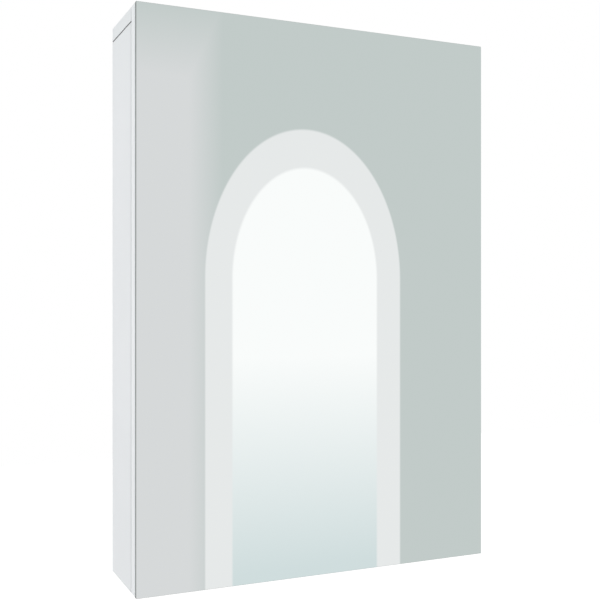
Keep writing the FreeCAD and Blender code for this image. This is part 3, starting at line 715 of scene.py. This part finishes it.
def combined(form: Form, other: Form, way: Way) -> Form:
    """Cut one closed form from another, or weld the two.

    Args:
        form: The first form, which is used up.
        other: The second form, which is used up.
        way: What is done with the second form.

    Returns:
        The closed form that results.
    """
    blanks = []
    for mesh in (form, other):
        bmesh.ops.recalc_face_normals(mesh, faces=mesh.faces)
        data = bpy.data.meshes.new("blank")
        mesh.to_mesh(data)
        mesh.free()
        blanks.append(into_scene("blank", data))
    step = blanks[0].modifiers.new("step", "BOOLEAN")
    step.operation = way.value
    step.solver = "EXACT"
    step.object = blanks[1]
    result = blanks[0].evaluated_get(bpy.context.evaluated_depsgraph_get())
    whole = bmesh.new()
    whole.from_mesh(result.to_mesh())
    result.to_mesh_clear()
    for blank in blanks:
        bpy.data.meshes.remove(blank.data)
    return whole


def fit(
    name: str,
    node: str,
    body: Body,
    slot: Slot,
    make: Callable[[Extent], Form],
    *finishes: Finish,
) -> None:
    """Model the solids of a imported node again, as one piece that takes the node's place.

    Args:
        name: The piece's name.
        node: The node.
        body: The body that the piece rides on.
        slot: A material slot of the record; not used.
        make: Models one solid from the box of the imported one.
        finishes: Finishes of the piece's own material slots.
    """
    data = bpy.data.meshes.new(name)
    whole = bmesh.new()
    for box in solids(node):
        form = make(box)
        form.to_mesh(data)
        whole.from_mesh(data)
        form.free()
    bmesh.ops.recalc_face_normals(whole, faces=whole.faces)
    for edge in whole.edges:
        edge.smooth = edge.calc_face_angle(0.0) < SHARP_ANGLE
    whole.to_mesh(data)
    whole.free()
    for finish in finishes:
        data.materials.append(finish.material())
    piece = into_scene(name, data)
    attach(piece, body.value)
    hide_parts(node)
    LOG.info("built %s for %s on %s", name, node, body.value)


def dress_board(node: str, across: Axis, *banded: Edge, **looks: object) -> None:
    """Finish a board, by the axis across its faces, its banded edges and looks of its own."""
    dress(node, BoardFinish("lacquered_" + node, Extent(*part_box(node)), across, banded, **looks))


@dataclass
class Carcass:
    """Top, sides, bottom and hanging rail, with the thin back in their grooves."""

    # Painted shade at each joint: reach from the end, drop into the rebate, rise onto the top panel's lip
    joint_reach: float = 3.05 * MM
    joint_drop: float = 1.05 * MM
    joint_lip: float = 0.55 * MM

    def build(self) -> None:
        """Nothing is modelled again here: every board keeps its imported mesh."""

    def dress(self) -> None:
        """Finish every board and the back."""
        front, low, high = (Axis.Y, -1), (Axis.Z, -1), (Axis.Z, 1)
        # Painted shade over the joints under the top panel, on the top panel and both sides
        joints = self.painted_joint_shades()
        dress_board("top_panel", Axis.Z, front, (Axis.X, -1), (Axis.X, 1), joints=joints)
        dress_board("bottom_panel", Axis.Z, front)
        dress_board("hanging_rail", Axis.Y, low)
        for side in ("left_side", "right_side"):
            dress_board(side, Axis.X, front, low, high, joints=joints)
        dress("back_panel", HardboardFinish("screen_back_hardboard", back=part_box("back_panel")[1].y))

    def painted_joint_shades(self) -> tuple[Extent, ...]:
        """Where shade is painted over the open joints under the two ends of the top panel.

        Returns:
            A box for each end, from the side's rebate to the lip of the top panel.
        """
        low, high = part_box("top_panel")
        bottom, top = low.z - self.joint_drop, low.z + self.joint_lip
        ends = ((low.x, low.x + self.joint_reach), (high.x - self.joint_reach, high.x))
        return tuple(Extent(Vector((a, low.y, bottom)), Vector((b, high.y, top))) for a, b in ends)


@dataclass
class Shelving:
    """Two loose shelves and the collared pins under them."""

    shelves: tuple[str, ...] = ("upper_shelf", "lower_shelf")
    collar_radius: float = 3.5 * MM
    collar_thickness: float = 0.45 * MM
    tip_chamfer: float = 0.5 * MM

    def build(self) -> None:
        """Model the pins."""
        fit("collared_pins", "shelf_pins", Body.CARCASS, Slot.ZINC_STEEL, self.pin, ZINC_PLATE)

    def dress(self) -> None:
        """Finish the shelves."""
        for node in self.shelves:
            dress_board(node, Axis.Z, (Axis.Y, -1))

    def pin(self, box: Extent) -> Form:
        """Pin with a collar on the side's face and a flat under the shelf.

        Args:
            box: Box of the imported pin.

        Returns:
            The pin in its place.
        """
        side = 1 if box.middle.x > MIDDLE.x else -1
        face = Extent(*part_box("right_side" if side > 0 else "left_side")).end(Axis.X, -side).x
        tip = box.end(Axis.X, -side)
        reach = abs(face - tip.x)
        radius = box.size.z / 2
        inner = reach - self.collar_thickness
        form = set_at(turned((
            (radius - self.tip_chamfer, 0.0),
            (radius, self.tip_chamfer),
            (radius, inner),
            (self.collar_radius, inner),
            (self.collar_radius, reach),
            (radius, reach),
            (radius, box.size.x),
        )), tip, heading(Axis.X, side))
        underside = min((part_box(shelf)[0].z for shelf in self.shelves), key=lambda z: abs(z - tip.z))
        for vert in form.verts:
            if abs(vert.co.x - tip.x) < inner + HAIR and (vert.co - tip).yz.length < radius + HAIR:
                vert.co.z = min(vert.co.z, underside)
        return form


@dataclass
class Joinery:
    """Cam locks, their bolts and caps, and the dowels between the boards."""

    cap_dome: float = 0.25 * MM
    cap_edge: float = 0.35 * MM
    cap_steps: int = 4
    cap_rings: tuple[float, ...] = (0.9, 0.6, 0.3, 0.05)
    flute_count: int = 16
    flute_depth: float = 0.18 * MM
    dowel_chamfer: float = 0.8 * MM

    def build(self) -> None:
        """Model the caps and the fluted dowels."""
        fit("cam_caps", "cam_covers", Body.CARCASS, Slot.WHITE_PLASTIC, self.cap, CAP_PLASTIC)
        fit("fluted_dowels", "wood_dowels", Body.CARCASS, Slot.BEECH, self.peg, BEECH)

    def dress(self) -> None:
        """Finish the metal of the locks."""
        dress("cam_locks", CAST_ZINC)
        dress("cam_bolts", ZINC_PLATE)

    def cap(self, box: Extent) -> Form:
        """Flat cap with a soft edge and a slight dome.

        Args:
            box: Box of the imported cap.

        Returns:
            The cap in its place.
        """
        axis = box.axes[0]
        height = box.size[axis]
        radius = max(box.size) / 2
        side = 1 if MIDDLE[axis] > box.middle[axis] else -1
        shoulder = height - self.cap_dome - self.cap_edge
        edge = quarter((radius - self.cap_edge, shoulder), (self.cap_edge, self.cap_edge), self.cap_steps)
        crown = [(radius * share, height - self.cap_dome * share ** 2) for share in self.cap_rings]
        return set_at(turned([(radius, 0.0), *edge, *crown]), box.end(axis, -side), heading(axis, side))

    def peg(self, box: Extent) -> Form:
        """Dowel with flutes along its length and chamfered ends.

        Args:
            box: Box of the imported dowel.

        Returns:
            The dowel in its place.
        """
        axis = box.axes[-1]
        length = box.size[axis]
        radius = min(box.size) / 2
        form = turned((
            (radius - self.dowel_chamfer, 0.0),
            (radius, self.dowel_chamfer),
            (radius, length - self.dowel_chamfer),
            (radius - self.dowel_chamfer, length),
        ), 4 * self.flute_count)
        for vert in form.verts:
            wave = 0.5 + 0.5 * math.cos(self.flute_count * math.atan2(vert.co.y, vert.co.x))
            vert.co.xy *= 1.0 - wave * self.flute_depth / radius
        return set_at(form, box.end(axis, -1), heading(axis, 1))


@dataclass
class MirrorDoor:
    """Door board, mounting tape, mirror pane and soft bumpers."""

    white: Colour = (0.890, 0.914, 0.932)
    finishes: tuple[Finish, ...] = (SILVER, GROUND_GLASS, BACK_PAINT)
    arris: float = 0.25 * MM
    arris_steps: int = 3
    corner: float = 0.5 * MM
    corner_steps: int = 5
    bumper_foot: float = 0.25
    bumper_steps: int = 8

    def build(self) -> None:
        """Model the pane and the bumpers."""
        fit("mirror_pane", "mirror_glass", Body.DOOR, Slot.MIRROR, self.pane, *self.finishes)
        fit("domed_bumpers", "door_bumpers", Body.DOOR, Slot.SOFT_BUMPER, self.bumper, BUMPER_RUBBER)

    def dress(self) -> None:
        """Finish the door board and the tape."""
        edges = [(axis, side) for axis in (Axis.X, Axis.Z) for side in (-1, 1)]
        dress_board("door_panel", Axis.Y, *edges, white=self.white)
        dress("mirror_tape", FOAM)

    def outline(self, box: Extent, inset: float) -> list[Pair]:
        """Outline of the pane with small round corners.

        Args:
            box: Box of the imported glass.
            inset: How far the outline lies inside it.

        Returns:
            Points (x, z) in order round the pane.
        """
        left, right = box.low.x + self.corner, box.high.x - self.corner
        bottom, top = box.low.z + self.corner, box.high.z - self.corner
        radius = self.corner - inset
        points = []
        for number, (x, z) in enumerate(((right, top), (left, top), (left, bottom), (right, bottom))):
            for step in range(self.corner_steps + 1):
                turn = 0.5 * math.pi * (number + step / self.corner_steps)
                points.append((x + radius * math.cos(turn), z + radius * math.sin(turn)))
        return points

    def pane(self, box: Extent) -> Form:
        """Glass with a rounded arris: silver in front, ground edges, painted back.

        Args:
            box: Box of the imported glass.

        Returns:
            The pane in its place.
        """
        turns = [0.5 * math.pi * i / self.arris_steps for i in range(self.arris_steps + 1)]
        curve = [(self.arris * (1.0 - math.sin(t)), self.arris * (1.0 - math.cos(t))) for t in turns]
        levels = [(inset, box.high.y - depth) for inset, depth in curve]
        levels += [(inset, box.low.y + depth) for inset, depth in curve[::-1]]
        form = drum([(x, y, z) for x, z in self.outline(box, inset)] for inset, y in levels)
        form.faces.ensure_lookup_table()
        for face in form.faces[:-2]:
            face.material_index = self.finishes.index(GROUND_GLASS)
        form.faces[-2].material_index = self.finishes.index(BACK_PAINT)
        form.faces[-1].material_index = self.finishes.index(SILVER)
        return form

    def bumper(self, box: Extent) -> Form:
        """Soft button with a domed face towards the carcass.

        Args:
            box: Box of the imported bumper.

        Returns:
            The bumper in its place.
        """
        radius = box.size.x / 2
        foot = self.bumper_foot * box.size.y
        dome = quarter((0.0, foot), (radius, box.size.y - foot), self.bumper_steps)
        return set_at(turned([(radius, 0.0), *dome]), box.end(Axis.Y, -1), heading(Axis.Y, 1))


@dataclass(frozen=True)
class ScrewForm:
    """Screw with a domed head, a cross recess and a rolled thread.

    The rim is a share of the head's height, flat and foot of its radius, and blunt of the shank's.
    """

    head_height: float
    shank_radius: float
    pitch: float
    ridge: float
    tip: float
    recess: float = 4.2 * MM
    recess_width: float = 0.95 * MM
    recess_depth: float = 1.35 * MM
    recess_taper: float = 0.55
    root: float = 0.2 * MM
    rim: float = 0.3
    flat: float = 0.4
    foot: float = 0.96
    crown_steps: int = 7
    head_points: int = 48
    blunt: float = 0.08
    flank: float = 3.0
    columns: int = 24
    rows_per_pitch: int = 6

    def head(self, radius: float) -> Form:
        """Domed head with its cross recess, seated at z = 0.

        Args:
            radius: The head's radius.

        Returns:
            The head.
        """
        rim = self.rim * self.head_height
        flat = self.flat * radius
        crown = quarter((flat, rim), (radius - flat, self.head_height - rim), self.crown_steps)
        profile = [(self.foot * radius, 0.0), (radius, rim / 3), *crown, (flat, self.head_height)]
        return combined(turned(profile, self.head_points), self.driver(), Way.CUT)

    def driver(self) -> Form:
        """Tapered cross that is cut from the head.

        Returns:
            The cutter.
        """
        reach = self.recess / 2
        half = self.recess_width / 2
        arm = ((reach, -half), (reach, half), (half, half))
        quarters = ((1, 0), (0, 1), (-1, 0), (0, -1))
        cross = [(x * c - y * s, x * s + y * c) for c, s in quarters for x, y in arm]
        levels = (
            (self.recess_taper, self.head_height - self.recess_depth),
            (1.0, self.head_height),
            (1.0, 2.0 * self.head_height),
        )
        return drum([(x * share, y * share, z) for x, y in cross] for share, z in levels)

    def thread(self, length: float) -> Form:
        """Shank whose radius follows a helix, from just inside the head down to its tip.

        Args:
            length: Length from the seat to the tip.

        Returns:
            The shank, seated at z = 0.
        """
        length += self.root
        count = round(length / self.pitch * self.rows_per_pitch)
        rows = []
        for row in range(count + 1):
            depth = length * row / count
            taper = max(self.blunt, min(1.0, (length - depth) / self.tip))
            points = []
            for column in range(self.columns):
                turn = column / self.columns
                crest = max(0.0, 1.0 - self.flank * abs((depth / self.pitch + turn) % 1.0 - 0.5))
                radius = taper * (self.shank_radius - self.ridge * (1.0 - crest))
                angle = 2.0 * math.pi * turn
                points.append((radius * math.cos(angle), radius * math.sin(angle), self.root - depth))
            rows.append(points)
        return drum(rows)


@dataclass(frozen=True)
class ScrewRow:
    """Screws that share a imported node: their form, and where they ride and look."""

    name: str
    node: str
    body: Body
    axis: Axis
    side: int
    form: ScrewForm

    def screw(self, box: Extent) -> Form:
        """One screw in the place of a packed one.

        Args:
            box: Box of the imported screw.

        Returns:
            The screw in its place.
        """
        outward = heading(self.axis, self.side)
        seat = box.end(self.axis, self.side) - outward * self.form.head_height
        head = self.form.head(box.size.z / 2)
        shank = self.form.thread(box.size[self.axis] - self.form.head_height)
        return set_at(combined(head, shank, Way.WELD), seat, outward)


WOOD_SCREW = ScrewForm(1.8 * MM, 2.0 * MM, pitch=1.6 * MM, ridge=0.45 * MM, tip=3.0 * MM)
MACHINE_SCREW = ScrewForm(2.0 * MM, 2.4 * MM, pitch=0.8 * MM, ridge=0.3 * MM, tip=0.6 * MM)


@dataclass
class HingeSet:
    """The two concealed hinges with their links, springs, pins and screws."""

    levels: tuple[str, ...] = ("upper", "lower")
    pressed: tuple[str, ...] = ("plate", "arm", "cup", "curved_link", "inner_link")
    screws: tuple[ScrewRow, ...] = (
        ScrewRow("plate_screws", "hinge_plate_screws", Body.CARCASS, Axis.X, -1, WOOD_SCREW),
        ScrewRow("cup_screws", "hinge_cup_screws", Body.DOOR, Axis.Y, 1, WOOD_SCREW),
        ScrewRow("arm_screws", "hinge_arm_screws", Body.CARCASS, Axis.X, -1, MACHINE_SCREW),
    )
    rivet_radius: float = 1.9 * MM
    rivet_height: float = 0.4 * MM
    rivet_steps: int = 5
    rivet_points: int = 28

    def build(self) -> None:
        """Model the screws and the riveted arm pins."""
        for row in self.screws:
            fit(row.name, row.node, row.body, Slot.ZINC_STEEL, row.screw, ZINC_PLATE)
        fit("arm_rivets", "hinge_arm_pins", Body.CARCASS, Slot.NICKEL_STEEL, self.rivet, NICKEL)

    def dress(self) -> None:
        """Finish the pressed pieces, the springs and the plain pins."""
        for level in self.levels:
            for part in self.pressed:
                dress(f"{level}_hinge_{part}", NICKEL)
            dress(f"{level}_hinge_spring", TEMPERED_STEEL)
        for node in ("hinge_rim_pins", "hinge_slot_pins"):
            dress(node, NICKEL)

    def rivet(self, box: Extent) -> Form:
        """Pin with a low domed head at both ends.

        Args:
            box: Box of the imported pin.

        Returns:
            The pin in its place.
        """
        radius = box.size.x / 2
        length = box.size.z
        dome = quarter((0.0, 0.0), (self.rivet_radius, self.rivet_height), self.rivet_steps)
        foot = [(reach, -height) for reach, height in dome[::-1]]
        crown = [(reach, length + height) for reach, height in dome]
        form = turned([*foot, (radius, 0.0), (radius, length), *crown], self.rivet_points)
        return set_at(form, box.end(Axis.Z, -1), heading(Axis.Z, 1))


@dataclass(frozen=True)
class Lamp:
    """A square soft lamp that looks at the object."""

    name: str
    place: Triple
    size: float
    power: float


@dataclass
class Studio:
    """Pale floor, soft lamps, plain cards with light panels for the mirror to show, and the camera."""

    floor_drop: float = 1.25
    floor_size: float = 16.0
    floor_glow: float = 0.42
    floor_tone: Colour = (0.86, 0.86, 0.86)
    floor_cloud: Colour = (0.89, 0.89, 0.89)
    floor_gloss: Range = (0.8, 0.9)
    floor_scale: float = 3.0
    world_light: float = 0.72
    walls: tuple[str, ...] = ("left_card", "front_card", "right_card", "back_card")
    card_distance: float = 2.2
    card_width: float = 5.6
    card_height: float = 4.4
    card_lift: float = 0.01
    card_left: Colour = (0.73, 0.735, 0.745)
    card_right: Colour = (0.583, 0.632, 0.622)
    card_floor: Colour = (0.47, 0.48, 0.465)
    card_lid: Colour = (0.78, 0.80, 0.80)
    card_turn: Range = (0.50, 0.62)
    card_rise: Range = (0.50, 0.75)
    panel_middles: tuple[float, ...] = (-1.06, -0.06, 0.937)
    panel_half: float = 0.38
    panel_spring: float = -0.175
    panel_rise: float = 0.53
    panel_blur: float = 0.015
    panel_white: Colour = (1.03, 1.03, 1.03)
    panel_foot: Colour = (0.68, 0.765, 0.775)
    panel_fade: Range = (-1.2, -0.45)
    panel_rim: Colour = (0.86, 0.865, 0.87)
    panel_core: float = 0.55
    lamps: tuple[Lamp, ...] = (
        Lamp("left_softbox", (-2.3, 0.0, 0.15), 1.8, 12.5),
        Lamp("right_softbox", (2.0, -1.6, 0.35), 1.8, 14.0),
        Lamp("top_softbox", (0.2, -0.9, 1.9), 1.6, 10.0),
    )
    eye: Triple = (-0.4387, -1.0254, -0.250)
    sight: Triple = (0.40819, 0.91290, 0.0)
    lens: float = 55.9

    def build(self) -> None:
        """Set up the whole studio."""
        bpy.context.scene.view_settings.view_transform = "Standard"
        self.world()
        self.floor()
        self.booth()
        self.lights()
        self.camera()

    def world(self) -> None:
        """White to the eye, and an even soft light on the object."""
        sketch = Sketch(bpy.data.worlds.new("studio"))
        bpy.context.scene.world = sketch.owner
        background = sketch.tree.nodes["Background"]
        sketch.feed(background, "Color", (1.0, 1.0, 1.0))
        sketch.feed(background, "Strength", sketch.span(sketch.seen(), (0.0, 1.0), (self.world_light, 1.0)))

    def floor(self) -> None:
        """Pale floor, as far below as a hung cabinet has it."""
        sketch = Sketch(bpy.data.materials.new("studio_floor"))
        grain = sketch.noise(self.floor_scale, 3.0)
        sketch.surface(
            Base_Color=sketch.mix(grain, self.floor_tone, self.floor_cloud),
            Roughness=sketch.span(grain, NOISE_BODY, self.floor_gloss),
            Emission_Color=(1.0, 1.0, 1.0),
            Emission_Strength=sketch.maths("MULTIPLY", sketch.seen(), self.floor_glow),
        )
        corners = level_sheet(self.floor_size, self.floor_size, CAD_BOX[0].z - self.floor_drop)
        self.sheet("studio_floor", corners, sketch.owner)

    def booth(self) -> None:
        """Plain sage cards all round, on the floor and overhead, seen by mirrors and metal alone."""
        low = CAD_BOX[0].z - self.floor_drop + self.card_lift
        high = low + self.card_height
        sketch = Sketch(bpy.data.materials.new("sage_card"))
        glow = sketch.add("Emission", {"Color": self.booth_tone(sketch, (low, high)), "Strength": 1.0})
        sketch.feed(sketch.tree.nodes["Material Output"], "Surface", glow.outputs[0])
        deep = 2.0 * self.card_distance
        floor, lid = (level_sheet(self.card_width, deep, height) for height in (low, high))
        sheets = {"floor_card": floor, "lid_card": lid}
        for i, name in enumerate(self.walls):
            sheets[name] = [floor[i - 1], floor[i], lid[i], lid[i - 1]]
        for name, corners in sheets.items():
            card = self.sheet(name, corners, sketch.owner)
            card.visible_camera = False
            card.visible_diffuse = False
            card.visible_shadow = False

    def booth_tone(self, sketch: Sketch, ends: Range) -> Socket:
        """Colour of the cards: sage, paler on the left, with the light panels on the front card.

        Args:
            sketch: The cards' material in the making.
            ends: Heights of the floor card and the lid card.

        Returns:
            The socket of the colour.
        """
        upright = sketch.along(Axis.Z)
        turn = sketch.span(sketch.along(Axis.X), self.card_turn)
        sage = sketch.maths("MAXIMUM", turn, sketch.span(upright, self.card_rise))
        card = sketch.mix(sage, self.card_left, self.card_right)
        card = sketch.mix(sketch.below(upright, ends[0] + self.card_lift), card, self.card_floor)
        card = sketch.mix(sketch.below(upright, ends[1] - self.card_lift), self.card_lid, card)
        fade = sketch.span(upright, self.panel_fade, (1.0, 0.0))
        light = sketch.mix(fade, self.panel_white, self.panel_foot)
        reach = self.panel_reach(sketch)
        light = sketch.mix(sketch.below(reach, self.panel_core, self.panel_blur), self.panel_rim, light)
        on_front = sketch.below(sketch.along(Axis.Y), self.card_lift - self.card_distance)
        share = sketch.maths("MULTIPLY", on_front, sketch.below(reach, 1.0, self.panel_blur))
        return sketch.mix(share, card, light)

    def panel_reach(self, sketch: Sketch) -> Socket:
        """How far a point of the front card lies from the nearest of its round-topped light panels.

        Args:
            sketch: The cards' material in the making.

        Returns:
            The socket of the squared distance, 1 at a panel's outline.
        """
        across = sketch.along(Axis.X)
        offsets = [sketch.maths("SUBTRACT", across, middle) for middle in self.panel_middles]
        sideways = sketch.fold("MINIMUM", [sketch.maths("ABSOLUTE", offset) for offset in offsets])
        rise = sketch.maths("SUBTRACT", sketch.along(Axis.Z), self.panel_spring)
        height = sketch.maths("MAXIMUM", rise, 0.0)
        shares = [
            sketch.maths("POWER", sketch.maths("DIVIDE", length, reach), 2.0)
            for length, reach in ((sideways, self.panel_half), (height, self.panel_rise))
        ]
        return sketch.maths("ADD", *shares)

    def sheet(self, name: str, corners: Sequence[Triple], material: bpy.types.Material) -> bpy.types.Object:
        """Flat piece of the stage.

        Args:
            name: Its name.
            corners: Its corners in order.
            material: Its material.

        Returns:
            The object.
        """
        data = bpy.data.meshes.new(name)
        data.from_pydata(corners, [], [range(len(corners))])
        data.materials.append(material)
        flat = into_scene(name, data)
        return flat

    def lights(self) -> None:
        """Hang the soft lamps, which mirrors don't show."""
        for lamp in self.lamps:
            data = bpy.data.lights.new(lamp.name, "AREA")
            data.size = lamp.size
            data.energy = lamp.power
            light = into_scene(lamp.name, data)
            light.location = lamp.place
            light.rotation_euler = (MIDDLE - light.location).to_track_quat("-Z", "Y").to_euler()
            light.visible_camera = False
            light.visible_glossy = False

    def camera(self) -> None:
        """Camera at the height of the cabinet's middle, to its left."""
        data = bpy.data.cameras.new("camera")
        data.lens = self.lens
        camera = into_scene("camera", data)
        camera.location = self.eye
        camera.rotation_euler = Vector(self.sight).to_track_quat("-Z", "Y").to_euler()
        bpy.context.scene.camera = camera


def main() -> None:
    """Build and dress every sub-assembly, then set up the studio."""
    logging.basicConfig(level=logging.INFO, format="%(name)s: %(message)s")
    for assembly in (Carcass(), Shelving(), Joinery(), MirrorDoor(), HingeSet()):
        assembly.build()
        assembly.dress()
    Studio().build()


if __name__ == "__main__":
    main()
